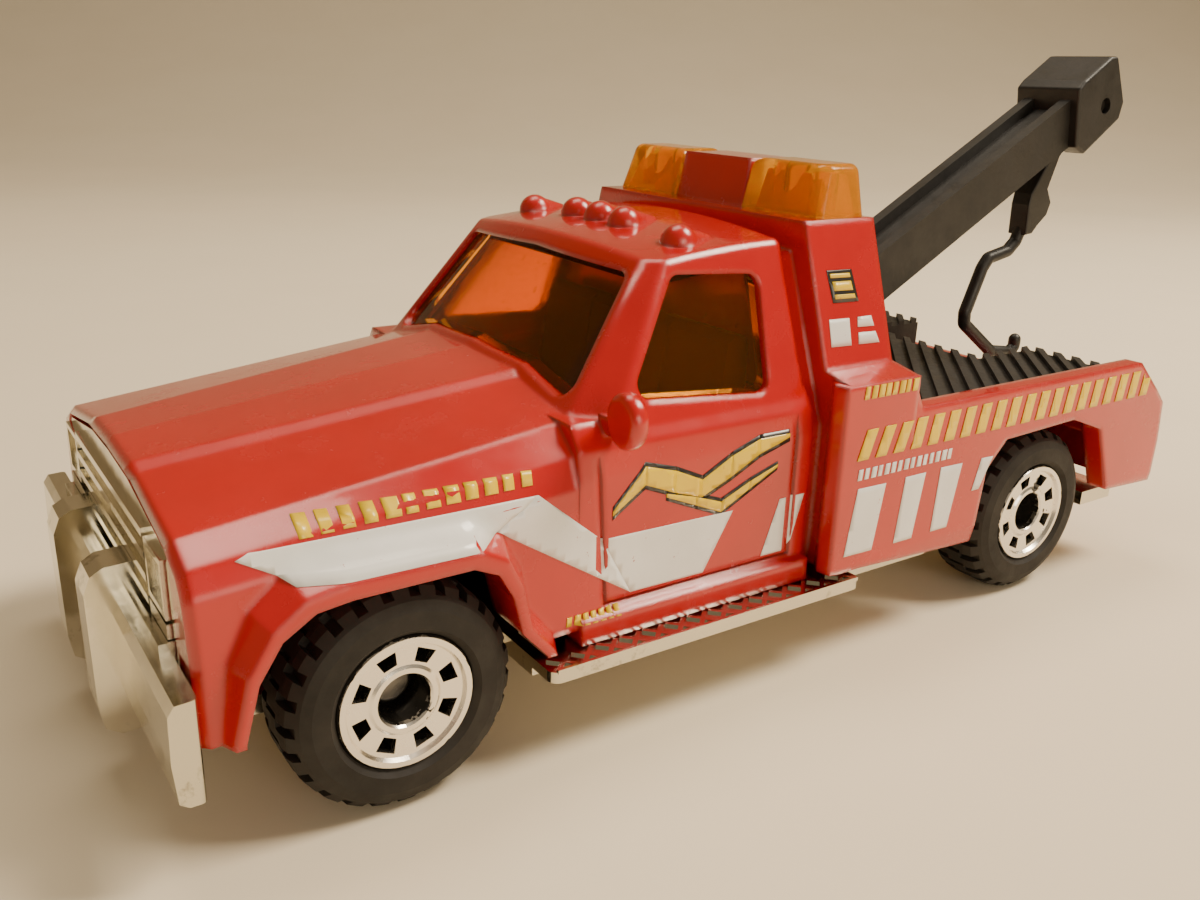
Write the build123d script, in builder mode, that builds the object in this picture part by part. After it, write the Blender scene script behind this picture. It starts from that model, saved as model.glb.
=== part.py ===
from build123d import *
import math
import os

# Toy tow truck, about 80 mm long over the boom.  Millimetres, +Z up.
# The front of the truck faces -Y and its left side faces +X.
# The origin is under the middle of the overall box, on the floor.

# ---- wheels and axles
front_axle_y = -28.2
rear_axle_y = 18.1
tyre_radius = 5.7
rim_radius = 3.42
axle_z = tyre_radius
tyre_outer_x = 14.8
tyre_width = 4.6
rim_windows = 8
hub_hole_radius = 1.3
axle_radius = 0.65
axle_clearance = 0.05
axle_head_radius = 1.05
tread_lugs = 26

# ---- body casting
body_half = 15.2
cab_half = 13.4
nose_half = 14.4
front_y = -37.3
cowl_y = -17.6
cab_rear_y = -2.4
tower_front_y = -1.4
tower_rear_y = 4.1
tail_y = 31.6
floor_z = 6.2
sill_z = 5.4
belt_z = 16.6
roof_z = 25.45
roof_edge_z = 24.35
roof_middle_y = -1.5
roof_bow_radius = 72.0
wall = 1.1
tower_top_z = 25.8
rail_z = 15.2
rail_inner_x = 13.7
tail_panel_z = 11.5
block_half = 3.35
block_top_z = 28.7
door_front_y = -17.0
door_rear_y = -3.6
shut_line = 0.24

# ---- bed insert
deck_z = 14.0
deck_thickness = 1.3
deck_half = 13.55
deck_front_y = 5.0
deck_rear_y = 28.5
notch_half = 5.5
notch_front_y = 22.0

# ---- boom and hook
pivot_y = 8.0
pivot_z = 16.45
boom_angle = 28.5
boom_depth = 3.5
boom_half = 2.1
head_half = 2.85
hook_pin_y = 37.4
hook_pin_z = 32.1
pivot_radius = 0.75
hook_pin_radius = 0.55

os.makedirs("parts", exist_ok=True)


def across(y):
    """Plane facing the front of the truck: X to the right, Z up."""
    return Plane.XZ.offset(-y)


def along(x):
    """Plane facing the left side of the truck: Y to the right, Z up."""
    return Plane.YZ.offset(x)


def mirrored(points):
    """Close a half outline given for +X by mirroring it to -X."""
    return points + [(-x, z) for x, z in reversed(points) if x > 0]


def finish(piece, name):
    piece.label = name
    export_step(piece, f"parts/{name}.step")


rivet_neck_radius = 0.8
rivet_head_z = 4.27
rivet_head_radius = 1.5

# ================================================================ body casting
front_section = [(0, 15.85), (4.0, 15.72), (4.9, 15.42), (11.1, 14.45), (12.9, 13.7), (13.5, 12.6),
                 (nose_half, floor_z)]
rear_section = [(0, 18.4), (5.3, 18.22), (6.1, 17.92), (11.2, 16.9), (12.7, 15.6), (13.3, 14.0),
                (cab_half + 0.1, floor_z)]
front_hollow = [(0, 14.5), (10.2, 13.2), (12.1, 11.2), (12.4, 2.0)]
rear_hollow = [(0, 16.9), (10.6, 15.6), (12.1, 13.6), (12.3, 2.0)]
grille_opening = [(0, 15.4), (4.2, 15.25), (10.8, 14.1), (11.4, 13.5), (11.4, 2.0)]
rear_section_y = cowl_y + 1.2
bevel = 0.35


def nose_section(points, y, inset):
    """One cross section of the nose, its upper points moved in by inset."""
    moved = [(x - inset if x > 10 else x, z - inset if z > 9 else z) for x, z in points]
    with BuildSketch(across(y)) as section:
        Polygon(*mirrored(moved), align=None)
        shoulder = section.vertices().filter_by(lambda v: abs(v.X) > 8 and v.Z > 9)
        fillet(shoulder, 0.6)
    return section.sketch


with BuildPart() as nose:
    add(nose_section(front_section, front_y, bevel))
    add(nose_section(front_section, front_y + bevel, 0))
    add(nose_section(rear_section, rear_section_y, 0))
    loft(ruled=True)

with BuildPart() as nose_hollow:
    with BuildSketch(across(front_y + 1.0)):
        Polygon(*mirrored(front_hollow), align=None)
    with BuildSketch(across(rear_section_y + 0.2)):
        Polygon(*mirrored(rear_hollow), align=None)
    loft(ruled=True)
    with BuildSketch(across(front_y + 1.1)):
        Polygon(*mirrored(grille_opening), align=None)
    extrude(amount=2)


def cab_face(inset, z):
    """Plan outline of the cab's upper part at height z, drawn in by inset."""
    rise = (z - belt_z) / (roof_edge_z - belt_z)
    side = 12.6 - 2.85 * rise - inset
    pillar = 10.95 - 1.9 * rise - inset
    corner_y = -15.6 + 4.9 * rise + inset
    glass_y = -17.6 + 6.0 * rise + inset
    middle_y = -18.9 + 6.4 * rise + inset
    back_y = cab_rear_y - inset
    with BuildSketch(Plane.XY.offset(z)) as plan:
        with BuildLine():
            Line((side, back_y), (side, corner_y))
            Line((side, corner_y), (pillar, glass_y))
            ThreePointArc((pillar, glass_y), (0, middle_y), (-pillar, glass_y))
            Line((-pillar, glass_y), (-side, corner_y))
            Line((-side, corner_y), (-side, back_y))
            Line((-side, back_y), (side, back_y))
        make_face()
        fillet(plan.vertices(), 0.55)
    return plan.sketch


def cab_upper(inset, low_z, drop):
    """Cab above the belt line as a solid, drawn in by inset, under a domed roof."""
    with BuildPart() as upper:
        add(cab_face(inset, low_z))
        add(cab_face(inset, 26.0))
        loft(ruled=True)
        with Locations((0, roof_middle_y, roof_z - drop - roof_bow_radius)):
            Sphere(roof_bow_radius, mode=Mode.INTERSECT)
    return upper.part


lower_section = [(0, belt_z + 0.3), (12.3, belt_z + 0.3), (13.15, 15.7), (cab_half, 14.2),
                 (cab_half, 6.9), (13.9, 6.75), (13.9, sill_z), (0, sill_z)]
lower_hollow = [(0, 15.6), (11.3, 15.6), (12.2, 14.0), (12.2, 2.0), (0, 2.0)]
side_window = [(-14.1, 18.2), (-13.5, 17.5), (-5.2, 16.85), (-4.6, 23.1), (-10.6, 23.45)]
windscreen = [(0, 18.6), (5.6, 18.35), (10.3, 17.25), (8.65, 23.45), (0, 23.8)]

with BuildPart() as cab:
    add(cab_upper(0, 16.0, 0))
    fillet(cab.edges().filter_by(lambda e: e.center().Z > 23.5 and abs(e.tangent_at(0.5).Z) < 0.6), 0.5)


def window_cuts(margin):
    """Bars through the door windows and the windscreen, outlines moved in by margin."""
    with BuildPart() as cuts:
        with BuildSketch(along(-16)) as doors:
            Polygon(*side_window, align=None)
            fillet(doors.vertices(), 0.75)
            offset(amount=-margin)
        extrude(amount=32)
        with BuildSketch(across(-22)) as front:
            Polygon(*mirrored(windscreen), align=None)
            fillet(front.vertices().filter_by(lambda v: abs(v.X) > 8), 0.7)
            offset(amount=-margin)
        extrude(amount=-11.5)
    return cuts.part


tower_section = [(0, 5.9), (body_half, 5.9), (body_half, 17.3), (12.9, 17.75), (10.25, tower_top_z),
                 (0, tower_top_z)]
tower_hollow = [(0, 2.0), (13.9, 2.0), (13.9, 16.2), (11.6, 16.7), (9.2, 24.7), (0, 24.7)]
groove_section = [(0, 6.3), (12.9, 6.3), (12.9, 14.6), (12.1, 16.8), (9.35, 24.0), (0, 24.7)]

with BuildPart() as tower:
    with BuildSketch(across(tower_rear_y)) as section:
        Polygon(*mirrored(tower_section), align=None)
        fillet(section.vertices().filter_by(lambda v: abs(v.X) > 14 and v.Z > 15), 0.5)
        fillet(section.vertices().filter_by(lambda v: v.Z > 25 and abs(v.X) > 9), 0.8)
    extrude(amount=tower_rear_y - tower_front_y)
    with BuildSketch(across(tower_rear_y)):
        Polygon(*mirrored(groove_section), align=None)
    extrude(amount=tower_rear_y - cab_rear_y + 0.6)

box_front = [(12.9, tower_front_y + 0.5), (13.5, tower_front_y), (14.3, -2.0), (body_half, -1.8), (body_half, 4.1),
             (12.9, 4.1)]

rear_arch = [(11.1, 2.0), (11.1, 5.2), (11.6, 10.2), (13.25, 11.95), (20.4, 12.2), (23.8, 11.0), (25.9, 6.1),
             (25.9, 2.0)]
bed_outline = [(-1.0, 5.95), (11.1, 5.25), (25.9, 6.1), (31.5, 5.8), (tail_y, 9.0), (31.3, 11.9), (27.9, rail_z),
               (4.9, rail_z), (4.1, 17.2), (-1.0, 17.2)]
bed_side = [(rail_inner_x, 5.0), (15.0, 5.0), (body_half, 6.4), (body_half, 12.9), (15.0, 14.9), (14.75, 17.4),
            (rail_inner_x, 17.4)]

with BuildPart() as bed:
    with BuildSketch(across(40)) as section:
        Polygon(*bed_side, align=None)
        fillet(section.vertices().filter_by(lambda v: v.X > 14.9), 0.5)
        mirror(about=Plane.YZ)
    extrude(amount=45)
    with BuildSketch(along(-20)) as outline:
        Polygon(*bed_outline, align=None)
        fillet(outline.vertices().filter_by(lambda v: v.Y > 27), 0.6)
    extrude(amount=40, mode=Mode.INTERSECT)
    with BuildSketch(Plane.XY.offset(5.8)) as tail_plan:
        with Locations((0, 30.6)):
            Rectangle(2 * rail_inner_x + 0.4, 1.6)
    extrude(amount=tail_panel_z - 5.8)
    with Locations((0, 27.8, tail_panel_z - 0.6)):
        Box(2 * rail_inner_x + 0.4, 7.0, 1.2)
    shelf_x = rail_inner_x - 0.5
    with Locations((shelf_x, 16.5, 12.3), (-shelf_x, 16.5, 12.3)):
        Box(1.4, 24.0, 0.7)

front_arch = [(-35.7, 2.0), (-35.7, 6.4), (-35.0, 9.0), (-33.9, 10.7), (-32.4, 11.65), (-30.8, 11.85), (-25.0, 11.9),
              (-23.7, 11.3), (-22.9, 9.9), (-22.4, 7.85), (-21.0, 6.3), (-21.0, 2.0)]
flare_lip = [(-36.2, 3.0), (-36.15, 6.4), (-35.4, 9.4), (-34.3, 11.2), (-32.8, 12.3), (-31.0, 12.6), (-24.6, 12.65),
             (-23.2, 11.9), (-22.4, 10.3), (-21.9, 8.0), (-20.5, 6.3), (-20.5, 3.0)]

with BuildPart() as flare:
    with BuildSketch(along(body_half)) as lip:
        Polygon(*flare_lip, align=None)
        fillet(lip.vertices().filter_by(lambda v: v.Z > 9), 0.6)
    extrude(amount=-2.2, taper=-24)
    with Locations((14, -28, floor_z - 5)):
        Box(8, 30, 10, mode=Mode.SUBTRACT)
    with Locations((14, front_y - 3, 10)):
        Box(8, 6, 20, mode=Mode.SUBTRACT)

with BuildPart() as arch_cut:
    with BuildSketch(along(-20)) as arches:
        Polygon(*front_arch, align=None)
        Polygon(*rear_arch, align=None)
        fillet(arches.vertices().filter_by(lambda v: v.Z > 10), 0.7)
    extrude(amount=10.5)
    mirror(about=Plane.YZ)

cab_hollow = cab_upper(wall, 15.0, wall)
window_openings = window_cuts(0.001)

# ---------------------------------------------------------------- small cast details
marker_x = [-7.7, -2.55, 0, 2.55, 7.7]
marker_y = -8.4
marker_z = {0: 25.12, 2.55: 25.08, 7.7: 24.7}
post_x = 6.0
rivet_y = [-33.2, 27.0]
peg_x = 6.4
peg_y = 1.8

with BuildPart() as marker:
    Sphere(1.02)
    with Locations(Plane(origin=(0, 1.05, 0), z_dir=(0, 1, 0))):
        Cone(1.0, 0.35, 2.1)

with BuildPart() as mirror_head:
    with BuildSketch(across(-15.7)):
        with Locations((14.4, 17.4)):
            Ellipse(1.3, 1.45)
    extrude(amount=1.0)
    fillet(mirror_head.edges(), 0.35)
    with Locations((13.2, -16.1, 16.8)):
        Box(2.0, 0.7, 0.9)

with BuildPart() as light_block:
    with BuildSketch(across(3.9)) as face:
        Polygon((-block_half, 25.2), (block_half, 25.2), (block_half - 0.15, block_top_z),
                (0.15 - block_half, block_top_z), align=None)
        fillet(face.vertices().filter_by(lambda v: v.Z > 27), 0.4)
    extrude(amount=3.9)
    with BuildSketch(along(-5)):
        Polygon((-0.3, 24), (0.65, block_top_z + 1), (-3, block_top_z + 1), (-3, 24), align=None)
    extrude(amount=10, mode=Mode.SUBTRACT)

with BuildPart() as door_lines:
    with BuildSketch(along(0)):
        Polygon((-17.2, 15.3), (-16.95, 15.3), (-16.4, 7.1), (-16.65, 7.1), align=None)
        Polygon((-3.75, 15.6), (-3.5, 15.6), (-3.5, 7.1), (-3.75, 7.1), align=None)
        Polygon((-16.65, 7.1), (-3.5, 7.1), (-3.5, 7.3), (-16.65, 7.3), align=None)
    extrude(amount=20)
    with Locations((0, -10, 10)):
        Box(2 * (cab_half - shut_line), 30, 12.1, mode=Mode.SUBTRACT)

with BuildPart() as body_shell:
    add(nose.part)
    add(cab.part)
    with BuildSketch(across(cab_rear_y)):
        Polygon(*mirrored(lower_section), align=None)
    extrude(amount=cab_rear_y + 18.2)
    add(tower.part)
    with BuildSketch(Plane.XY.offset(5.95)):
        Polygon(*box_front, align=None)
        mirror(about=Plane.YZ)
    extrude(amount=17.35 - 5.95)
    add(bed.part)
    add(flare.part)
    add(mirror(flare.part, about=Plane.YZ))
    add(nose_hollow.part, mode=Mode.SUBTRACT)
    add(cab_hollow, mode=Mode.SUBTRACT)
    with BuildSketch(across(cab_rear_y - wall)):
        Polygon(*mirrored(lower_hollow), align=None)
    extrude(amount=15.0, mode=Mode.SUBTRACT)
    with BuildSketch(across(tower_rear_y - wall)):
        Polygon(*mirrored(tower_hollow), align=None)
    extrude(amount=tower_rear_y - tower_front_y - 1.9, mode=Mode.SUBTRACT)
    add(arch_cut.part, mode=Mode.SUBTRACT)
    add(window_openings, mode=Mode.SUBTRACT)
    add(mirror_head.part)
    add(light_block.part)
    for x in marker_x:
        with Locations((x, marker_y, marker_z[abs(x)])):
            add(marker.part)
    add(door_lines.part, mode=Mode.SUBTRACT)
    add(mirror(door_lines.part, about=Plane.YZ), mode=Mode.SUBTRACT)
    with Locations((peg_x, peg_y, 25), (-peg_x, peg_y, 25)):
        Cylinder(0.85, 4, mode=Mode.SUBTRACT)
    with Locations((post_x, front_axle_y, 11.05), (-post_x, front_axle_y, 11.05)):
        Box(1.4, 1.25, 9.1)
    with Locations((0, rivet_y[0], 10.1)):
        Cylinder(1.6, 9.6)
    with Locations((0, rivet_y[1], 8.3)):
        Cylinder(1.6, 6.0)
    for y in rivet_y:
        with Locations((0, y, 4.6)):
            Cylinder(rivet_neck_radius, 1.6)
        with Locations((0, y, rivet_head_z)):
            Cylinder(rivet_head_radius, 0.34)

finish(body_shell.part, "body_shell")

# ================================================================ amber plastic
with BuildPart() as glass_shell:
    add(cab_upper(wall + 0.04, 16.4, wall + 0.04))

with BuildPart() as glass_void:
    add(cab_upper(wall + 0.7, 15.0, wall + 0.7))

with BuildPart() as glass_panes:
    add(cab_upper(0.4, 16.5, 0.4))

window_panes = window_cuts(0.05)

with BuildPart() as cab_glazing:
    add(glass_panes.part)
    add(window_panes, mode=Mode.INTERSECT)
    add(glass_shell.part)
    add(glass_void.part, mode=Mode.SUBTRACT)

finish(cab_glazing.part, "cab_glazing")

lens_inner_x = block_half + 0.1
lens_bottom_z = tower_top_z + 0.02
lens_top_z = 28.8

with BuildPart() as light_lens:
    with BuildSketch(Plane.XY.offset(lens_bottom_z)) as foot:
        Polygon((lens_inner_x, -0.25), (9.95, -0.25), (9.95, 4.0), (lens_inner_x, 4.0), align=None)
        fillet(foot.vertices().filter_by(lambda v: v.X > 9), 0.9)
    with BuildSketch(Plane.XY.offset(lens_top_z)) as crown:
        Polygon((lens_inner_x, 0.6), (9.45, 0.6), (9.45, 3.75), (lens_inner_x, 3.75), align=None)
        fillet(crown.vertices().filter_by(lambda v: v.X > 9), 0.9)
    loft(ruled=True)
    fillet(light_lens.faces().sort_by(Axis.Z)[-1].edges(), 0.6)
    with BuildSketch(Plane.XY.offset(lens_bottom_z)):
        Polygon((4.2, 0.45), (9.2, 0.45), (9.2, 3.3), (4.2, 3.3), align=None)
    with BuildSketch(Plane.XY.offset(28.1)):
        Polygon((4.2, 1.4), (8.5, 1.4), (8.5, 3.0), (4.2, 3.0), align=None)
    loft(ruled=True, mode=Mode.SUBTRACT)
    with Locations((5.0, peg_y, 27.2), (8.3, peg_y, 27.2)):
        Cylinder(0.55, 2.2)
    with Locations((peg_x, peg_y, 26.6)):
        Cylinder(0.9, 3.6)
    with Locations((peg_x, peg_y, 25.2)):
        Cylinder(0.8, 2.4)
    with Locations((peg_x, peg_y, lens_bottom_z - 1)):
        Box(3, 3, 2, mode=Mode.SUBTRACT)
    with Locations((peg_x, peg_y, 25.2)):
        Cylinder(0.8, 2.4)

finish(light_lens.part, "light_lens_left")
finish(mirror(light_lens.part, about=Plane.YZ), "light_lens_right")

# ================================================================ black plastic inside the cab
floor_top_z = 9.2

with BuildPart() as cab_interior:
    with Locations((0, -10.3, floor_top_z - 0.5)):
        Box(23.6, 12.8, 1.0)
    with BuildSketch(along(-9.2)) as seat:
        Polygon((-10.6, 9.0), (-10.6, 12.2), (-9.9, 12.9), (-6.7, 12.5), (-5.9, 18.9), (-5.3, 19.4), (-4.7, 19.3),
                (-4.4, 18.8), (-4.4, 9.0), align=None)
        fillet(seat.vertices().filter_by(lambda v: v.Z > 10), 0.25)
    extrude(amount=18.4)
    with BuildSketch(along(-10.3)) as dash:
        Polygon((-16.6, 9.0), (-16.6, 14.6), (-15.4, 15.9), (-13.7, 15.9), (-13.3, 15.2), (-13.9, 13.2), (-15.2, 12.6),
                (-15.2, 9.0), align=None)
        fillet(dash.vertices().filter_by(lambda v: v.Z > 12), 0.3)
    extrude(amount=20.6)
    for x in (-3.6, 3.6):
        with Locations((x, -9.8, 12.9)):
            Box(0.25, 6.4, 1.2, mode=Mode.SUBTRACT)
        with Locations((x, -5.9, 16.5)):
            Box(0.25, 1.0, 9, mode=Mode.SUBTRACT)
    with Locations(Plane(origin=(4.9, -13.0, 15.4), z_dir=(0, 0.75, 0.66))):
        Torus(1.75, 0.26)
        Cylinder(0.45, 0.5)
        Box(3.4, 0.4, 0.3)
        Box(0.4, 3.4, 0.3)
        with Locations((0, 0, -0.9)):
            Cylinder(0.3, 1.9)
    with Locations((8.5, -12, 6.95), (-8.5, -12, 6.95), (0, -6, 6.95)):
        Box(1.2, 1.2, 3.4)

finish(cab_interior.part, "cab_interior")

# ================================================================ black bed insert and boom
deck_outline = [(-deck_half, deck_front_y), (deck_half, deck_front_y), (deck_half, deck_rear_y),
                (notch_half, deck_rear_y), (notch_half, notch_front_y), (-notch_half, notch_front_y),
                (-notch_half, deck_rear_y), (-deck_half, deck_rear_y)]
rib_pitch = 1.1
groove_width = 0.62
rib_height = 0.35
groove_count = 36
ear_x = 2.35
ear_width = 1.0
groove_places = []
for n in range(groove_count):
    shift = (n - groove_count / 2) * rib_pitch / math.sin(math.radians(45))
    groove_places.append(Location((0, 17.0 + shift, 0), (0, 0, -45)))

with BuildPart() as bed_insert:
    with BuildSketch(Plane.XY.offset(deck_z - deck_thickness)):
        Polygon(*deck_outline, align=None)
    extrude(amount=deck_thickness)
    with Locations((0, 25.0, 12.8)):
        Box(2 * notch_half + 1.2, 7.0, 2.4)
    with Locations((0, 25.6, 14.0)):
        Box(2 * notch_half, 7.2, 4.2, mode=Mode.SUBTRACT)
    with BuildSketch(Plane.XY.offset(deck_z)):
        Polygon(*deck_outline, align=None)
        with Locations(*groove_places):
            Rectangle(80, groove_width, mode=Mode.SUBTRACT)
        with Locations((0, (deck_front_y + 11.8) / 2)):
            Rectangle(8.0, 11.8 - deck_front_y)
    extrude(amount=rib_height)
    for x in (ear_x, -ear_x - ear_width):
        with BuildSketch(along(x)):
            with BuildLine():
                Line((5.2, deck_z - 0.3), (11.4, deck_z - 0.3))
                Line((11.4, deck_z - 0.3), (9.9, pivot_z))
                ThreePointArc((9.9, pivot_z), (pivot_y, pivot_z + 1.9), (5.2, pivot_z))
                Line((5.2, pivot_z), (5.2, deck_z - 0.3))
            make_face()
        extrude(amount=ear_width)
    with Locations(Plane(origin=(0, pivot_y, pivot_z), z_dir=(1, 0, 0))):
        Cylinder(pivot_radius + 0.06, 12, mode=Mode.SUBTRACT)
    with Locations((post_x, rear_axle_y, 9.6), (-post_x, rear_axle_y, 9.6)):
        Box(1.4, 1.25, 6.3)
    with Locations((11.5, 8.0, 9.2), (-11.5, 8.0, 9.2)):
        Box(1.4, 1.4, 7.4)

finish(bed_insert.part, "bed_insert")

# ---------------------------------------------------------------- boom, stored against its rest angle
boom_rise = 0.5435
boom_head = [(33.67, 33.3), (34.3, 33.9), (37.3, 35.75), (38.1, 35.8), (39.88, 32.43), (39.6, 31.1), (35.64, 28.43),
             (34.41, 28.98)]
rib_half = 1.2
hook_slot = 1.2


def boom_top(y):
    """Height of the boom's upper face at y."""
    return 22.15 + boom_rise * (y - 14.8)


def boom_bottom(y):
    """Height of the boom's lower face at y."""
    return 18.48 + boom_rise * (y - 15.3)


with BuildPart() as boom:
    with BuildSketch(along(-boom_half)):
        Polygon((8.85, boom_bottom(8.85)), (35.5, boom_bottom(35.5)), (35.5, boom_top(35.5)), (7.15, boom_top(7.15)),
                align=None)
        with Locations((pivot_y, pivot_z)):
            Circle(1.75)
    extrude(amount=2 * boom_half)
    with BuildSketch(along(-rib_half)):
        Polygon((10.5, boom_top(10.5) - 0.9), (35.5, boom_top(35.5) - 0.9), (35.5, boom_top(35.5) + 2),
                (10.5, boom_top(10.5) + 2), align=None)
    extrude(amount=2 * rib_half, mode=Mode.SUBTRACT)
    with BuildSketch(along(-rib_half)):
        Polygon((10.5, boom_bottom(10.5) - 1), (34.4, boom_bottom(34.4) - 1), (34.4, boom_bottom(34.4) + 1.2),
                (10.5, boom_bottom(10.5) + 1.2), align=None)
    extrude(amount=2 * rib_half, mode=Mode.SUBTRACT)
    with BuildSketch(Plane.YZ) as head_face:
        Polygon(*boom_head, align=None)
        fillet(head_face.vertices(), 0.3)
    extrude(amount=head_half, both=True)
    fillet(boom.edges().filter_by(lambda e: abs(abs(e.center().X) - head_half) < 0.01), 0.25)
    with BuildSketch(along(-hook_slot)):
        Polygon((34.2, 26.0), (41.0, 29.5), (41.0, 31.5), (38.75, 34.0), (36.4, 33.6), (34.9, 31.7), (34.2, 30.7),
                align=None)
    extrude(amount=2 * hook_slot, mode=Mode.SUBTRACT)
    with Locations(Plane(origin=(0, hook_pin_y, hook_pin_z), z_dir=(1, 0, 0))):
        Cylinder(hook_pin_radius + 0.06, 8, mode=Mode.SUBTRACT)
    with Locations(Plane(origin=(0, pivot_y, pivot_z), z_dir=(1, 0, 0))):
        Cylinder(pivot_radius, 2 * (ear_x + ear_width))
        Cylinder(1.75, 2 * boom_half + 0.3)

finish(boom.part, "boom")

# ---------------------------------------------------------------- hook, moulded with its own side pegs
rod_path = [(33.0, 22.6), (32.45, 21.4), (31.6, 20.7), (29.3, 20.25), (28.7, 19.5), (27.3, 16.0), (27.4, 15.1),
            (31.3, 12.4), (33.9, 12.0), (34.45, 12.45), (34.45, 13.05)]
rod_radius = 0.5
hook_half = 0.85
hook_arm = [(36.4, 32.6), (38.3, 32.3), (37.6, 30.6), (35.5, 28.1), (34.6, 25.6), (35.3, 24.5), (34.95, 23.5),
            (33.95, 22.7), (33.4, 22.1), (32.5, 22.0), (32.4, 24.4), (32.55, 25.3), (33.4, 26.6), (35.0, 29.2),
            (35.9, 31.6)]

with BuildPart() as tow_hook:
    with BuildSketch(Plane.YZ) as arm:
        Polygon(*hook_arm, align=None)
        with Locations((hook_pin_y, hook_pin_z)):
            Circle(1.05)
    extrude(amount=hook_half, both=True)
    fillet(tow_hook.edges().filter_by(lambda e: abs(abs(e.center().X) - hook_half) < 0.01), 0.15)
    with Locations(Plane(origin=(0, hook_pin_y, hook_pin_z), z_dir=(1, 0, 0))):
        Cylinder(hook_pin_radius, 2 * head_half - 0.9)
    with BuildLine() as rod_line:
        FilletPolyline(*[(0, y, z) for y, z in rod_path], radius=0.42)
    with BuildSketch(Plane(origin=rod_line.line @ 0, z_dir=rod_line.line % 0)):
        Circle(rod_radius)
    sweep(path=rod_line.line)
    with Locations(rod_line.line @ 1):
        Sphere(rod_radius)

finish(tow_hook.part, "tow_hook")

# ================================================================ chrome base moulding
base_bottom_z = 4.2
base_top_z = 5.2
narrow_half = 9.6
wide_half = 13.3
board_outer = 15.35
board_front_y = -20.8
board_rear_y = 0.8
bumper_front_y = -38.75
bumper_rear_y = -37.45
tread_count = 14
cradle_half = 1.9

bumper_face = [(bumper_rear_y, 4.3), (-38.2, 4.3), (-38.6, 4.6), (bumper_front_y, 6.5), (-38.7, 8.7), (-38.4, 9.15),
               (bumper_rear_y, 9.2)]
guard_side = [(-36.9, 4.3), (-37.6, 2.5), (-38.9, 2.4), (-39.65, 2.9), (-39.85, 4.2), (-39.85, 10.0),
              (-39.5, 10.85), (-38.9, 11.2), (-36.9, 11.3)]
grille_face = [(0, 15.15), (4.15, 15.0), (10.65, 13.9), (11.25, 13.3), (11.25, 5.0)]

with BuildPart() as chrome_base:
    with Locations((0, -8.0, 4.7)):
        Box(2 * narrow_half, 57.6, 1.0)
    with Locations((0, -10.0, 4.7)):
        Box(2 * wide_half, 21.6, 1.0)
    with Locations((0, 4.8, 4.7)):
        Box(2 * wide_half, 8.4, 1.0)
    with Locations((0, 25.2, 4.7)):
        Box(2 * narrow_half, 9.4, 1.0)
    with Locations((0, 28.0, 4.7)):
        Box(2 * wide_half, 3.6, 1.0)
    with Locations((0, (board_front_y + board_rear_y) / 2, 4.95)):
        Box(2 * board_outer, board_rear_y - board_front_y, 0.6)
    fillet(chrome_base.edges().filter_by(Axis.Z).filter_by(lambda e: abs(e.center().X) > 15), 0.6)
    for side in (-1, 1):
        with Locations((side * (board_outer - 0.1), -10.0, 5.3)):
            Box(0.2, 21.0, 0.22)
        for n in range(tread_count):
            y = board_front_y + 1.05 + n * 1.5
            with Locations(Location((side * 14.6, y, 5.28), (0, 0, 45)), Location((side * 14.6, y, 5.28), (0, 0, -45))):
                Box(1.75, 0.26, 0.2)
    with BuildSketch(along(-body_half)) as blade:
        Polygon(*bumper_face, align=None)
        fillet(blade.vertices().filter_by(lambda v: v.Y < -38.3), 0.2)
    extrude(amount=2 * body_half)
    fillet(chrome_base.edges().filter_by(Axis.Z).filter_by(lambda e: abs(e.center().X) > 15 and e.center().Y < -37), 0.3)
    for x in (3.0, -5.1):
        with BuildSketch(along(x)) as guard:
            Polygon(*guard_side, align=None)
            fillet(guard.vertices().filter_by(lambda v: v.Y < -37.5), 0.35)
        extrude(amount=2.1)
    with BuildSketch(across(-36.45)):
        Polygon(*mirrored(grille_face), align=None)
    extrude(amount=0.8)
    with Locations((0, -37.4, 9.4)):
        Box(22.4, 1.2, 0.9)
    for z in (10.4, 11.5, 12.6, 13.7):
        with Locations((0, -37.35, z)):
            Box(15.6, 0.45, 0.4)
    for side in (-1, 1):
        with Locations((side * 9.5, -37.3, 12.2)):
            Box(3.0, 0.5, 2.8)
        with Locations((side * 9.5, -37.5, 12.2)):
            Box(2.4, 0.5, 2.2, mode=Mode.SUBTRACT)
        with Locations((side * 9.5, -37.35, 10.25)):
            Box(3.0, 0.4, 0.7)
    with Locations((0, -36.6, 5.5)):
        Box(2 * narrow_half, 1.4, 2.0)
    for y in (front_axle_y, rear_axle_y):
        with Locations((post_x, y, 6.5), (-post_x, y, 6.5)):
            Box(2.4, 2 * cradle_half, 2.8)
        with Locations((0, y, axle_z + 2)):
            Box(2 * narrow_half + 1, 2 * (axle_radius + axle_clearance), 4.0, mode=Mode.SUBTRACT)
        with Locations(Plane(origin=(0, y, axle_z), z_dir=(1, 0, 0))):
            Cylinder(axle_radius + axle_clearance, 2 * narrow_half + 1, mode=Mode.SUBTRACT)
    for y in rivet_y:
        with Locations((0, y, 4.6)):
            Cylinder(rivet_neck_radius + 0.05, 2.4, mode=Mode.SUBTRACT)
        with Locations((0, y, 4.25)):
            Cylinder(rivet_head_radius + 0.12, 0.5, mode=Mode.SUBTRACT)
    for x in (-7.5, -2.5, 2.5, 7.5):
        with Locations((x, -8.5, 4.1)):
            Box(0.5, 24.0, 0.4)
    for y in (-20.5, 3.5):
        with Locations((0, y, 4.1)):
            Box(15.5, 0.5, 0.4)

finish(chrome_base.part, "chrome_base")

# ================================================================ axles and wheels
head_x = 12.1
web_inner_x = 10.9
web_outer_x = 12.0


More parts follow.
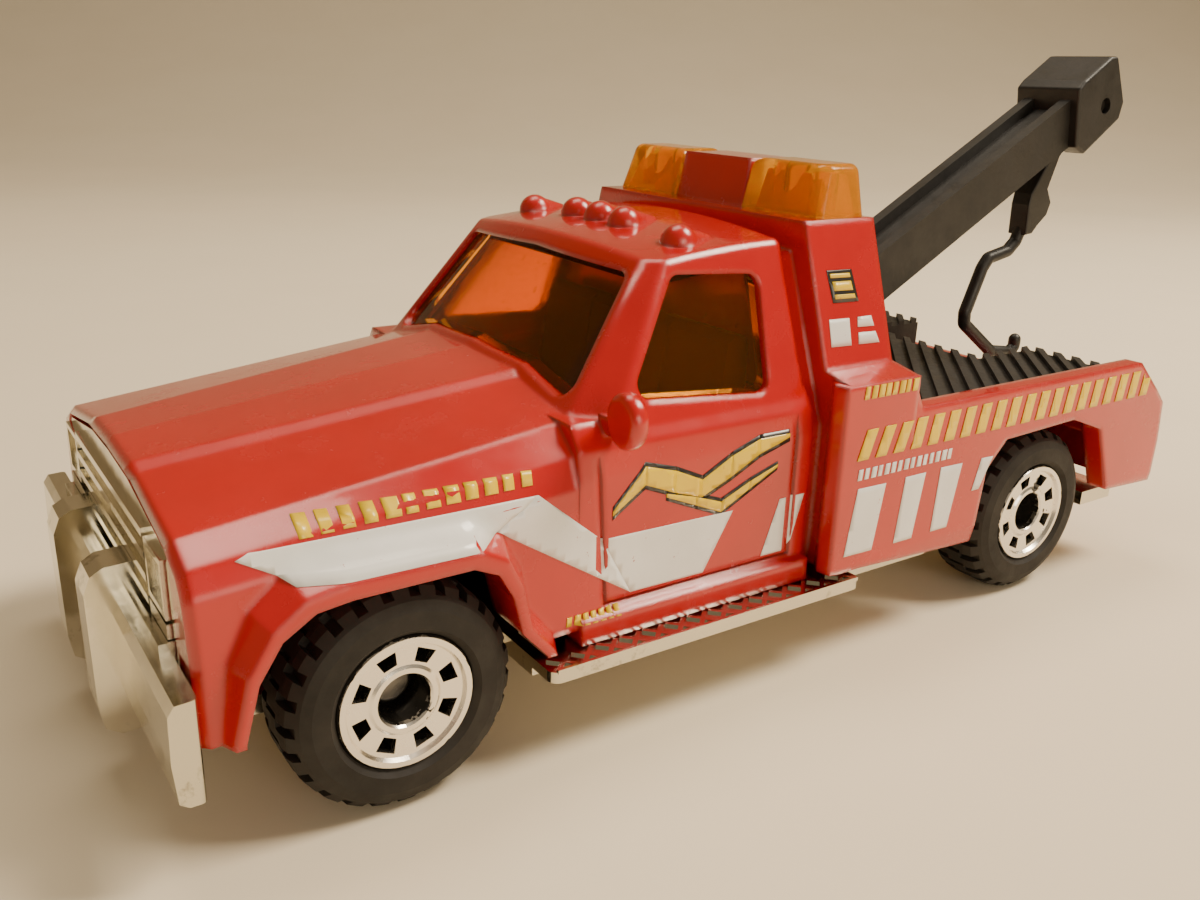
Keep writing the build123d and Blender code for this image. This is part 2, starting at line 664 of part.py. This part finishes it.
def axle(y, name):
    """Steel axle along X with a formed head at each end."""
    with BuildPart() as rod:
        with Locations(Plane(origin=(0, y, axle_z), z_dir=(1, 0, 0))):
            Cylinder(axle_radius, 2 * head_x + 0.2)
            for side in (-1, 1):
                with Locations((0, 0, side * (head_x + 0.25))):
                    Cylinder(axle_head_radius, 0.5)
    with BuildPart() as finished:
        add(rod.part)
        fillet(finished.edges().filter_by(lambda e: abs(e.center().X) > head_x + 0.4), 0.2)
    finish(finished.part, name)


axle(front_axle_y, "front_axle")
axle(rear_axle_y, "rear_axle")

hub_profile = [(axle_radius + axle_clearance, web_inner_x), (3.4, web_inner_x), (3.4, 14.5), (3.3, 14.65), (3.02, 14.65),
               (2.9, 14.42), (1.8, 14.3), (1.65, 14.4), (1.4, 14.4), (hub_hole_radius, 14.28),
               (hub_hole_radius, web_outer_x), (axle_radius + axle_clearance, web_outer_x)]
tyre_inner_x = tyre_outer_x - tyre_width
tyre_profile = [(rim_radius + 0.02, tyre_inner_x + 0.5), (4.6, tyre_inner_x), (5.1, tyre_inner_x + 0.2),
                (5.6, tyre_inner_x + 0.75), (5.7, tyre_inner_x + 1.3), (5.7, tyre_outer_x - 1.3),
                (5.6, tyre_outer_x - 0.75), (5.1, tyre_outer_x - 0.25), (4.6, tyre_outer_x - 0.05),
                (3.75, tyre_outer_x), (rim_radius + 0.02, tyre_outer_x - 0.3)]
window_radius = 2.3
window_phase = 20
lug_depth = 0.5

with BuildPart() as hub:
    with BuildSketch(Plane.XZ):
        Polygon(*[(r, x) for r, x in hub_profile], align=None)
    revolve(axis=Axis.Z)
    with BuildSketch(Plane.XY.offset(15)):
        with PolarLocations(window_radius, rim_windows, start_angle=window_phase):
            Polygon((-0.36, -0.34), (0.36, -0.5), (0.36, 0.5), (-0.36, 0.34), align=None)
    extrude(amount=-2.1, mode=Mode.SUBTRACT)

with BuildPart() as tyre:
    with BuildSketch(Plane.XZ):
        Polygon(*tyre_profile, align=None)
    revolve(axis=Axis.Z)
    for low, phase in ((tyre_inner_x - 0.4, 0), (tyre_outer_x - 1.75, 0.5)):
        with Locations((0, 0, low + 1.08)):
            with PolarLocations(5.75, tread_lugs, start_angle=phase * 360 / tread_lugs):
                Box(2 * lug_depth, 0.52, 2.16, mode=Mode.SUBTRACT)
    with Locations((0, 0, (tyre_inner_x + tyre_outer_x) / 2)):
        with PolarLocations(5.75, tread_lugs, start_angle=90 / tread_lugs):
            Box(0.7, 0.3, 1.3, mode=Mode.SUBTRACT)

for axle_name, axle_y in (("front", front_axle_y), ("rear", rear_axle_y)):
    for side_name, tilt in (("left", 90), ("right", -90)):
        place = Location((0, axle_y, axle_z), (0, tilt, 0))
        finish(tyre.part.moved(place), f"tyre_{axle_name}_{side_name}")
        finish(hub.part.moved(place), f"wheel_hub_{axle_name}_{side_name}")
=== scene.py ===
import math
import random

import bmesh
import bpy
from mathutils import Matrix, Vector
from mathutils.bvhtree import BVHTree


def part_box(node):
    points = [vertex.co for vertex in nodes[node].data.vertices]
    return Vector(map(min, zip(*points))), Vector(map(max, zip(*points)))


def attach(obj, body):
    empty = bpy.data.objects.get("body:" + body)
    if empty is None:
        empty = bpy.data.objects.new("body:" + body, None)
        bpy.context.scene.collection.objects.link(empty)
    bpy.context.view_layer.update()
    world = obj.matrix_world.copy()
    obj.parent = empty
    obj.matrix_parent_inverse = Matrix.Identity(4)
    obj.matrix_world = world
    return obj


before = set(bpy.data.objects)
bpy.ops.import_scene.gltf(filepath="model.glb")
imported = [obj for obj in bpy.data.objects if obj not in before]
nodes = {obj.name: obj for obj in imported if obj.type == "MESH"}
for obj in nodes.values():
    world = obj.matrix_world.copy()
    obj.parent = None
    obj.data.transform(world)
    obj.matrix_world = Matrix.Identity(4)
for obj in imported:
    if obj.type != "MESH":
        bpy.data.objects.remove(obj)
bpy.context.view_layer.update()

MM = 0.001
SIDES = {"left": 1, "right": -1}

METAL_BUMP_MM = 0.012
PAINT_ROUNDING_MM = 0.5
RED_BENEATH = (0.40, 0.003, 0.003)
AMBER_IOR = 1.3
SPECK_SHADE = 0.55
# the hub's foil: its ring's radii, how far out along X the raised face starts, and how uneven its edge is
FOIL_OUTER_MM = 3.33
FOIL_INNER_MM = 1.30
FOIL_FACE_X_MM = 13.98
FOIL_RAGGED_MM = 0.35


# ---------------------------------------------------------------- materials
def new_material(name):
    """An empty node material and its Principled shader."""
    material = bpy.data.materials.new(name)
    material.use_nodes = True
    tree = material.node_tree
    tree.nodes.clear()
    output = tree.nodes.new("ShaderNodeOutputMaterial")
    shader = tree.nodes.new("ShaderNodeBsdfPrincipled")
    tree.links.new(shader.outputs[0], output.inputs[0])
    return material, tree, shader


def object_coords(tree):
    """Coordinates fixed to the piece, in metres."""
    return tree.nodes.new("ShaderNodeTexCoord").outputs["Object"]


def noise_node(tree, scale, detail=3.0, rough=0.5):
    """A noise texture's value; scale is in features per metre."""
    node = tree.nodes.new("ShaderNodeTexNoise")
    node.inputs["Scale"].default_value = scale
    node.inputs["Detail"].default_value = detail
    node.inputs["Roughness"].default_value = rough
    tree.links.new(object_coords(tree), node.inputs["Vector"])
    return node.outputs["Fac"]


def remap(tree, value, low, high, to_low, to_high):
    """value, taken from low..high to to_low..to_high and clamped."""
    node = tree.nodes.new("ShaderNodeMapRange")
    for socket, number in zip(("From Min", "From Max", "To Min", "To Max"), (low, high, to_low, to_high)):
        node.inputs[socket].default_value = number
    tree.links.new(value, node.inputs["Value"])
    return node.outputs["Result"]


def mix_colour(tree, fac, a, b):
    """Colour a where fac is 0 and b where it is 1; each is a tuple or a socket."""
    node = tree.nodes.new("ShaderNodeMix")
    node.data_type = "RGBA"
    tree.links.new(fac, node.inputs["Factor"])
    for socket, colour in ((node.inputs[6], a), (node.inputs[7], b)):
        if isinstance(colour, tuple):
            socket.default_value = (*colour, 1)
        else:
            tree.links.new(colour, socket)
    return node.outputs[2]


def add_bump(tree, shader, height, depth_mm):
    """A bump from height on the shader's normal."""
    node = tree.nodes.new("ShaderNodeBump")
    node.inputs["Strength"].default_value = 1.0
    node.inputs["Distance"].default_value = depth_mm * MM
    tree.links.new(height, node.inputs["Height"])
    tree.links.new(node.outputs[0], shader.inputs["Normal"])


def node_of_kind(tree, kind):
    """The first node of this kind in the tree."""
    return next(n for n in tree.nodes if n.bl_idname == kind)


def plain(name, colour, other, rough, rough_to, scale, bump_scale, bump_mm, metallic=0.0, coat=0.0,
          coat_rough=0.1, specular=0.5):
    """A surface whose colour and roughness drift with noise, with a fine bump."""
    material, tree, shader = new_material(name)
    drift = noise_node(tree, scale, 4.0, 0.6)
    base = mix_colour(tree, remap(tree, drift, 0.35, 0.65, 0, 1), colour, other)
    tree.links.new(base, shader.inputs["Base Color"])
    tree.links.new(remap(tree, noise_node(tree, scale * 2.7, 5.0, 0.6), 0.3, 0.7, rough, rough_to),
                   shader.inputs["Roughness"])
    add_bump(tree, shader, noise_node(tree, bump_scale, 3.0, 0.55), bump_mm)
    shader.inputs["Metallic"].default_value = metallic
    shader.inputs["Coat Weight"].default_value = coat
    shader.inputs["Coat Roughness"].default_value = coat_rough
    shader.inputs["Specular IOR Level"].default_value = specular
    return material


def red_material():
    """Thick glossy enamel over a die casting: every cast edge is drawn round by the paint."""
    material = plain("red_paint", (0.50, 0.0012, 0.0014), (0.56, 0.0018, 0.0018), 0.20, 0.30, 160, 900,
                     0.0022, coat=0.9, coat_rough=0.05)
    tree = material.node_tree
    rounding = tree.nodes.new("ShaderNodeBevel")
    rounding.samples = 6
    rounding.inputs["Radius"].default_value = PAINT_ROUNDING_MM * MM
    bump = node_of_kind(tree, "ShaderNodeBump")
    shader = node_of_kind(tree, "ShaderNodeBsdfPrincipled")
    tree.links.new(rounding.outputs[0], bump.inputs["Normal"])
    tree.links.new(bump.outputs[0], shader.inputs["Coat Normal"])
    return material


def print_material(name, colour, other, worn):
    """Pad print over the paint, with red showing through where the print missed or wore off."""
    material = plain(name, colour, other, 0.30, 0.42, 220, 1200, 0.004, coat=0.5, coat_rough=0.1)
    tree = material.node_tree
    shader = node_of_kind(tree, "ShaderNodeBsdfPrincipled")
    base = shader.inputs["Base Color"].links[0].from_socket
    missed = remap(tree, noise_node(tree, 1400, 5.0, 0.75), 0.66, 0.69, 0, worn)
    tree.links.new(mix_colour(tree, missed, base, RED_BENEATH), shader.inputs["Base Color"])
    return material


red_paint = red_material()
black_bed = plain("black_bed", (0.012, 0.0105, 0.009), (0.022, 0.019, 0.017), 0.42, 0.62, 300, 2600, 0.02)
black_boom = plain("black_boom", (0.011, 0.010, 0.009), (0.020, 0.018, 0.016), 0.36, 0.56, 240, 2300, 0.016)
interior_black = plain("interior_black", (0.015, 0.013, 0.011), (0.025, 0.021, 0.018), 0.5, 0.65, 300, 2000,
                       0.02)
tyre_rubber = plain("tyre_rubber", (0.017, 0.0145, 0.0125), (0.028, 0.024, 0.021), 0.55, 0.78, 260, 1800,
                    0.025, specular=0.35)
# the axle steel is coloured darker than bare steel: painted shade for the shadow under the truck
axle_steel = plain("axle_steel", (0.42, 0.40, 0.37), (0.30, 0.28, 0.26), 0.25, 0.45, 500, 2500, 0.008,
                   metallic=1.0)
white_print = print_material("white_print", (0.88, 0.87, 0.84), (0.80, 0.79, 0.76), 0.9)
yellow_print = print_material("yellow_print", (0.90, 0.62, 0.004), (0.84, 0.55, 0.004), 0.6)
black_print = print_material("black_print", (0.012, 0.010, 0.009), (0.02, 0.017, 0.014), 0.2)


def chrome_material():
    """Vacuum-plated plastic: warm bright metal with flow marks, haze and rubbed spots."""
    material, tree, shader = new_material("chrome_plate")
    rub = remap(tree, noise_node(tree, 420, 6.0, 0.7), 0.60, 0.70, 0, 1)
    base = mix_colour(tree, noise_node(tree, 90, 4.0, 0.5), (0.62, 0.58, 0.47), (0.78, 0.74, 0.63))
    tree.links.new(mix_colour(tree, rub, base, (0.34, 0.30, 0.23)), shader.inputs["Base Color"])
    haze = remap(tree, noise_node(tree, 260, 5.0, 0.65), 0.3, 0.75, 0.07, 0.30)
    tree.links.new(haze, shader.inputs["Roughness"])
    shader.inputs["Metallic"].default_value = 1.0
    add_bump(tree, shader, noise_node(tree, 520, 3.0, 0.5), METAL_BUMP_MM)
    return material


def amber_material(name, colour, clear, rough_low, rough_high, bump_mm):
    """Tinted clear plastic with a faint haze and small specks."""
    material, tree, shader = new_material(name)
    specks = remap(tree, noise_node(tree, 3200, 2.0, 0.6), 0.66, 0.72, 0, 1)
    darker = tuple(c * SPECK_SHADE for c in colour)
    tree.links.new(mix_colour(tree, specks, colour, darker), shader.inputs["Base Color"])
    tree.links.new(remap(tree, noise_node(tree, 420, 5.0, 0.6), 0.3, 0.7, rough_low, rough_high),
                   shader.inputs["Roughness"])
    shader.inputs["Transmission Weight"].default_value = clear
    shader.inputs["IOR"].default_value = AMBER_IOR
    add_bump(tree, shader, noise_node(tree, 1500, 3.0, 0.6), bump_mm)
    return material


chrome_plate = chrome_material()
amber_glazing = amber_material("amber_glazing", (1.0, 0.36, 0.012), 0.97, 0.03, 0.10, 0.004)
amber_lens = amber_material("amber_lens", (1.0, 0.47, 0.015), 0.72, 0.04, 0.12, 0.008)


def foil_material(name, centre_y, centre_z):
    """Black wheel plastic with bright foil on its raised outer face; the foil's edge is ragged."""
    material, tree, shader = new_material(name)
    coords = object_coords(tree)
    split = tree.nodes.new("ShaderNodeSeparateXYZ")
    tree.links.new(coords, split.inputs[0])

    def maths(operation, a, b=None):
        node = tree.nodes.new("ShaderNodeMath")
        node.operation = operation
        for socket, value in zip(node.inputs, (a, b)):
            if value is None:
                continue
            if isinstance(value, (int, float)):
                socket.default_value = value
            else:
                tree.links.new(value, socket)
        return node.outputs[0]

    y = maths("SUBTRACT", split.outputs[1], centre_y)
    z = maths("SUBTRACT", split.outputs[2], centre_z)
    radius = maths("SQRT", maths("ADD", maths("MULTIPLY", y, y), maths("MULTIPLY", z, z)))
    unevenness = maths("SUBTRACT", noise_node(tree, 1500, 3.0, 0.6), 0.5)
    ragged = maths("MULTIPLY", unevenness, FOIL_RAGGED_MM * MM)
    rim = maths("LESS_THAN", maths("ADD", radius, ragged), FOIL_OUTER_MM * MM)
    hole = maths("GREATER_THAN", maths("ADD", radius, ragged), FOIL_INNER_MM * MM)
    raised = maths("GREATER_THAN", maths("ABSOLUTE", split.outputs[0]), FOIL_FACE_X_MM * MM)
    worn = maths("LESS_THAN", noise_node(tree, 330, 4.0, 0.6), 0.66)
    foil = maths("MULTIPLY", maths("MULTIPLY", rim, hole), maths("MULTIPLY", raised, worn))
    foil_colour = mix_colour(tree, foil, (0.014, 0.012, 0.010), (0.93, 0.88, 0.80))
    tree.links.new(foil_colour, shader.inputs["Base Color"])
    tree.links.new(foil, shader.inputs["Metallic"])
    foil_rough = remap(tree, noise_node(tree, 500, 4.0, 0.6), 0.3, 0.7, 0.16, 0.34)
    tree.links.new(foil_rough, shader.inputs["Roughness"])
    add_bump(tree, shader, noise_node(tree, 1400, 3.0, 0.5), METAL_BUMP_MM)
    return material


def wheel_centre(name):
    """(y, z) of a wheel's axis from its tyre's box."""
    low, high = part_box(name)
    return (low[1] + high[1]) / 2, (low[2] + high[2]) / 2


paint = {"body_shell": red_paint, "cab_glazing": amber_glazing, "light_lens_left": amber_lens,
         "light_lens_right": amber_lens, "cab_interior": interior_black, "bed_insert": black_bed,
         "boom": black_boom, "tow_hook": black_boom, "chrome_base": chrome_plate, "front_axle": axle_steel,
         "rear_axle": axle_steel}
for axle in ("front", "rear"):
    hub_foil = foil_material(f"hub_foil_{axle}", *wheel_centre(f"tyre_{axle}_left"))
    for side in SIDES:
        paint[f"tyre_{axle}_{side}"] = tyre_rubber
        paint[f"wheel_hub_{axle}_{side}"] = hub_foil

for name, material in paint.items():
    node = nodes[name]
    if not node.material_slots:
        node.data.materials.append(material)
    for slot in node.material_slots:
        slot.link = "OBJECT"
        slot.material = material

# ---------------------------------------------------------------- soft cast edges
BEVEL_MM = {"body_shell": 0.28, "boom": 0.2, "bed_insert": 0.06, "chrome_base": 0.1, "cab_interior": 0.1,
            "tow_hook": 0.1}
BEVEL_SEGMENTS = 3
BEVEL_ANGLE = 28


def soften(name, width_mm):
    """Rounds a CAD node's sharp edges with a bevel modifier."""
    node = nodes[name]
    bevel = node.modifiers.new("soft_edges", "BEVEL")
    bevel.width = width_mm * MM
    bevel.segments = BEVEL_SEGMENTS
    bevel.limit_method = "ANGLE"
    bevel.angle_limit = math.radians(BEVEL_ANGLE)
    bevel.harden_normals = True
    bevel.use_clamp_overlap = True


for name, width in BEVEL_MM.items():
    soften(name, width)

# ---------------------------------------------------------------- printed stripes
shell = nodes["body_shell"]
shell_tree = BVHTree.FromPolygons([shell.matrix_world @ v.co for v in shell.data.vertices],
                                  [tuple(f.vertices) for f in shell.data.polygons])
PRINT_CELL_MM = 0.45
PRINT_GAP_MM = 1.3  # a face with a longer edge bridges a step in the casting and is dropped
PRINT_START_X_MM = 30
PRINT_THICKNESS = 0.8  # share of the lift
BLOCK_LEAN_MM = 0.06
WHITE_LIFT_MM = 0.035
BLACK_LIFT_MM = 0.03
YELLOW_LIFT_MM = 0.05


def row_of_bars(y_from, y_to, low, high, count, lean, fill):
    """Slanted bars between two heights; lean moves the top along y, fill is the bar's share of its pitch."""
    bars = []
    pitch = (y_to - y_from) / count
    for n in range(count):
        y = y_from + n * pitch
        bars.append([(y, low), (y + pitch * fill, low), (y + pitch * fill + lean, high), (y + lean, high)])
    return bars


def ragged_row(rng, y_from, y_to, low, high, count, rise=0.0):
    """A row of small plain blocks of uneven width, climbing by rise towards the rear."""
    blocks = []
    pitch = (y_to - y_from) / count
    for n in range(count):
        y = y_from + n * pitch
        width = pitch * rng.uniform(0.55, 0.82)
        lift = rise * n / count
        blocks.append([(y, low + lift), (y + width, low + lift),
                       (y + width + BLOCK_LEAN_MM, high + lift), (y + BLOCK_LEAN_MM, high + lift)])
    return blocks


def ribbon(points, half_widths):
    """A band along a line of points, given as quads."""
    quads = []
    for (a, b), (wa, wb) in zip(zip(points, points[1:]), zip(half_widths, half_widths[1:])):
        quads.append([(a[0], a[1] - wa), (b[0], b[1] - wb), (b[0], b[1] + wb), (a[0], a[1] + wa)])
    return quads


def printed(name, outlines, side, material, lift_mm):
    """Thin print laid on the body's side: flat (y, z) outlines in mm, dropped on the casting along X."""
    mesh = bmesh.new()
    for outline in outlines:
        mesh.faces.new([mesh.verts.new((0, y * MM, z * MM)) for y, z in outline])
    for axis in (1, 2):
        low = min(v.co[axis] for v in mesh.verts)
        high = max(v.co[axis] for v in mesh.verts)
        normal = Vector((0, 0, 0))
        normal[axis] = 1
        place = low + PRINT_CELL_MM * MM / 2
        while place < high:
            geometry = mesh.verts[:] + mesh.edges[:] + mesh.faces[:]
            bmesh.ops.bisect_plane(mesh, geom=geometry, dist=1e-8, plane_co=normal * place, plane_no=normal)
            place += PRINT_CELL_MM * MM
    missed = []
    for vert in mesh.verts:
        start = Vector((side * PRINT_START_X_MM * MM, vert.co.y, vert.co.z))
        hit, facing, _, _ = shell_tree.ray_cast(start, Vector((-side, 0, 0)))
        if hit is None:
            missed.append(vert)
            continue
        if facing.x * side < 0:
            facing = -facing
        vert.co = hit + facing * lift_mm * MM
    bmesh.ops.delete(mesh, geom=missed, context="VERTS")
    broken = [f for f in mesh.faces if max(e.calc_length() for e in f.edges) > PRINT_GAP_MM * MM]
    bmesh.ops.delete(mesh, geom=broken, context="FACES")
    for face in mesh.faces:
        if face.normal.x * side < 0:
            face.normal_flip()
        face.smooth = True
    piece = bpy.data.objects.new(name, bpy.data.meshes.new(name))
    mesh.to_mesh(piece.data)
    mesh.free()
    bpy.context.collection.objects.link(piece)
    piece.data.materials.append(material)
    thicken = piece.modifiers.new("thickness", "SOLIDIFY")
    thicken.thickness = lift_mm * PRINT_THICKNESS * MM
    thicken.offset = -1
    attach(piece, "truck")


rng = random.Random(7)
white_shapes = [
    [(-35.0, 13.75), (-32.9, 12.65), (-22.9, 12.65), (-20.52, 14.0), (-34.4, 13.95)],
    [(-22.9, 12.65), (-14.9, 7.5), (-16.8, 10.9), (-20.52, 14.0)],
    [(-16.8, 10.9), (-14.9, 7.5), (-10.0, 7.45), (-8.1, 10.75)],
    [(-5.75, 7.45), (-3.65, 7.45), (-2.7, 10.75), (-4.6, 10.75)],
    [(-0.82, 6.95), (1.52, 6.9), (2.14, 11.05), (-0.21, 11.1)],
    [(3.43, 6.9), (5.04, 6.9), (5.63, 11.1), (3.84, 11.1)],
    [(6.77, 6.95), (8.29, 6.95), (9.01, 11.1), (7.0, 11.15)],
    [(10.3, 9.0), (11.0, 9.0), (12.01, 11.05), (10.88, 11.1)],
]
white_shapes += ragged_row(rng, -0.35, 8.0, 11.62, 12.28, 15)
white_shapes += [[(-0.7, 18.95), (0.9, 18.9), (1.0, 20.4), (-0.6, 20.45)],
                 [(1.5, 18.9), (3.2, 18.85), (3.0, 19.5), (1.6, 19.55)],
                 [(1.6, 19.85), (2.95, 19.8), (2.8, 20.4), (1.7, 20.4)]]
yellow_shapes = row_of_bars(-0.55, 29.3, 12.85, 14.65, 20, 0.6, 0.6)
yellow_shapes += ragged_row(rng, -0.5, 4.0, 16.5, 17.25, 8)
yellow_shapes += ragged_row(rng, -32.2, -20.3, 14.12, 14.8, 12, 0.4)
yellow_shapes += ragged_row(rng, -19.0, -15.6, 6.6, 7.1, 7)
SWOOSH = [(-16.2, 12.2), (-14.2, 13.9), (-12.2, 13.2), (-10.4, 12.5), (-8.4, 13.4), (-6.4, 14.2),
          (-4.2, 14.5)]
SWOOSH_HALF = [0.12, 0.5, 0.62, 0.5, 0.6, 0.42, 0.1]
SWOOSH_EDGE = 0.24
UNDER_STROKE = [(y + 1.4, z - 1.35) for y, z in SWOOSH[1:6]]
swoosh_yellow = ribbon(SWOOSH, SWOOSH_HALF) + ribbon(UNDER_STROKE, [0.1, 0.24, 0.3, 0.22, 0.08])
swoosh_black = ribbon(SWOOSH, [w + SWOOSH_EDGE for w in SWOOSH_HALF])
swoosh_black += ribbon(UNDER_STROKE, [0.3, 0.46, 0.52, 0.44, 0.26])
badge_black = [[(-0.1, 21.3), (1.95, 21.25), (1.7, 23.05), (-0.3, 23.1)]]
badge_yellow = [[(0.1, 21.5), (1.72, 21.46), (1.68, 21.7), (0.08, 21.74)],
                [(-0.06, 22.66), (1.52, 22.62), (1.5, 22.86), (-0.09, 22.9)],
                [(0.1, 21.95), (1.6, 21.9), (1.52, 22.42), (0.02, 22.46)]]
for side_name, side in SIDES.items():
    printed(f"print_white_{side_name}", white_shapes, side, white_print, WHITE_LIFT_MM)
    printed(f"print_black_{side_name}", swoosh_black + badge_black, side, black_print, BLACK_LIFT_MM)
    printed(f"print_yellow_{side_name}", yellow_shapes + swoosh_yellow + badge_yellow, side, yellow_print,
            YELLOW_LIFT_MM)

# ---------------------------------------------------------------- backdrop, light and camera
# one sheet in metres: flat under the truck, then swept up behind it, away from the camera
BACK_WAY = Vector((-0.825, 0.566, 0))
SIDE_WAY = Vector((0.566, 0.825, 0))
FLAT_TO = 0.25
SWEEP_RADIUS = 0.45
SWEEP_STEPS = 16
WALL_HEIGHT = 2.2
sweep_line = [(-5.0, 0.0), (-0.4, 0.0), (FLAT_TO, 0.0)]
for n in range(1, SWEEP_STEPS + 1):
    turn = math.pi / 2 * n / SWEEP_STEPS
    sweep_line.append((FLAT_TO + SWEEP_RADIUS * math.sin(turn), SWEEP_RADIUS - SWEEP_RADIUS * math.cos(turn)))
sweep_line.append((FLAT_TO + SWEEP_RADIUS, WALL_HEIGHT))
BACKDROP_ACROSS = (-8.0, -0.8, 0, 0.8, 8.0)
backdrop_mesh = bmesh.new()
rows = []
for along, up in sweep_line:
    rows.append([backdrop_mesh.verts.new(BACK_WAY * along + SIDE_WAY * across + Vector((0, 0, up)))
                 for across in BACKDROP_ACROSS])
for row, following in zip(rows, rows[1:]):
    for n in range(len(BACKDROP_ACROSS) - 1):
        backdrop_mesh.faces.new((row[n], row[n + 1], following[n + 1], following[n]))
bmesh.ops.recalc_face_normals(backdrop_mesh, faces=backdrop_mesh.faces)
for face in backdrop_mesh.faces:
    face.smooth = True
backdrop = bpy.data.objects.new("backdrop", bpy.data.meshes.new("backdrop"))
backdrop_mesh.to_mesh(backdrop.data)
backdrop_mesh.free()
bpy.context.collection.objects.link(backdrop)
backdrop_paper = plain("backdrop_paper", (0.88, 0.76, 0.57), (0.90, 0.78, 0.59), 0.8, 0.9, 30, 600, 0.01)
backdrop.data.materials.append(backdrop_paper)

world = bpy.data.worlds.new("studio")
bpy.context.scene.world = world
world.use_nodes = True
ROOM_COLOUR = (1.0, 0.84, 0.62, 1)
ROOM_STRENGTH = 0.27
background = world.node_tree.nodes["Background"]
background.inputs["Color"].default_value = ROOM_COLOUR
background.inputs["Strength"].default_value = ROOM_STRENGTH


def area_light(name, place, target, size, power, colour):
    """A soft rectangular lamp at place, aimed at target, in metres."""
    data = bpy.data.lights.new(name, "AREA")
    data.shape = "RECTANGLE"
    data.size, data.size_y = size
    data.energy = power
    data.color = colour
    lamp = bpy.data.objects.new(name, data)
    lamp.location = place
    lamp.rotation_mode = "QUATERNION"
    lamp.rotation_quaternion = (Vector(place) - Vector(target)).to_track_quat("Z", "Y")
    bpy.context.collection.objects.link(lamp)


area_light("key", (0.10, 0.20, 0.30), (0, 0, 0), (0.12, 0.12), 1.75, (1.0, 0.88, 0.70))
area_light("top", (-0.10, 0.02, 0.34), (0, 0, 0.01), (0.2, 0.12), 0.45, (1.0, 0.88, 0.70))
area_light("fill", (0.34, -0.02, 0.10), (0, 0, 0.01), (0.2, 0.12), 0.35, (1.0, 0.86, 0.66))

# the camera solved from the photo, in mm, degrees and pixels
CAMERA_PLACE = (55.4018, -45.9372, 33.2885)
CAMERA_ANGLES = (55.5233, 18.9585, 1.7535)
FOCAL_PIXELS = 1092.6364
FRAME_WIDTH = 1200
SENSOR = 36.0


def camera_rotation(azimuth, elevation, roll):
    """Rotation of a camera that looks from this azimuth and elevation with this roll, in degrees."""
    a, e, r = (math.radians(v) for v in (azimuth, elevation, roll))
    back = Vector((math.sin(a) * math.cos(e), -math.cos(a) * math.cos(e), math.sin(e)))
    right = (-back).cross(Vector((0, 0, 1))).normalized()
    up = right.cross(-back)
    rolled_right = right * math.cos(r) + up * math.sin(r)
    rolled_up = -right * math.sin(r) + up * math.cos(r)
    return Matrix((rolled_right, rolled_up, back)).transposed()


camera_data = bpy.data.cameras.new("camera")
camera_data.sensor_width = SENSOR
camera_data.lens = SENSOR * FOCAL_PIXELS / FRAME_WIDTH
camera_data.clip_start = 0.005
camera_data.clip_end = 20
camera = bpy.data.objects.new("camera", camera_data)
camera_turn = camera_rotation(*CAMERA_ANGLES).to_4x4()
camera.matrix_world = Matrix.Translation(Vector(CAMERA_PLACE) * MM) @ camera_turn
bpy.context.collection.objects.link(camera)
bpy.context.scene.camera = camera
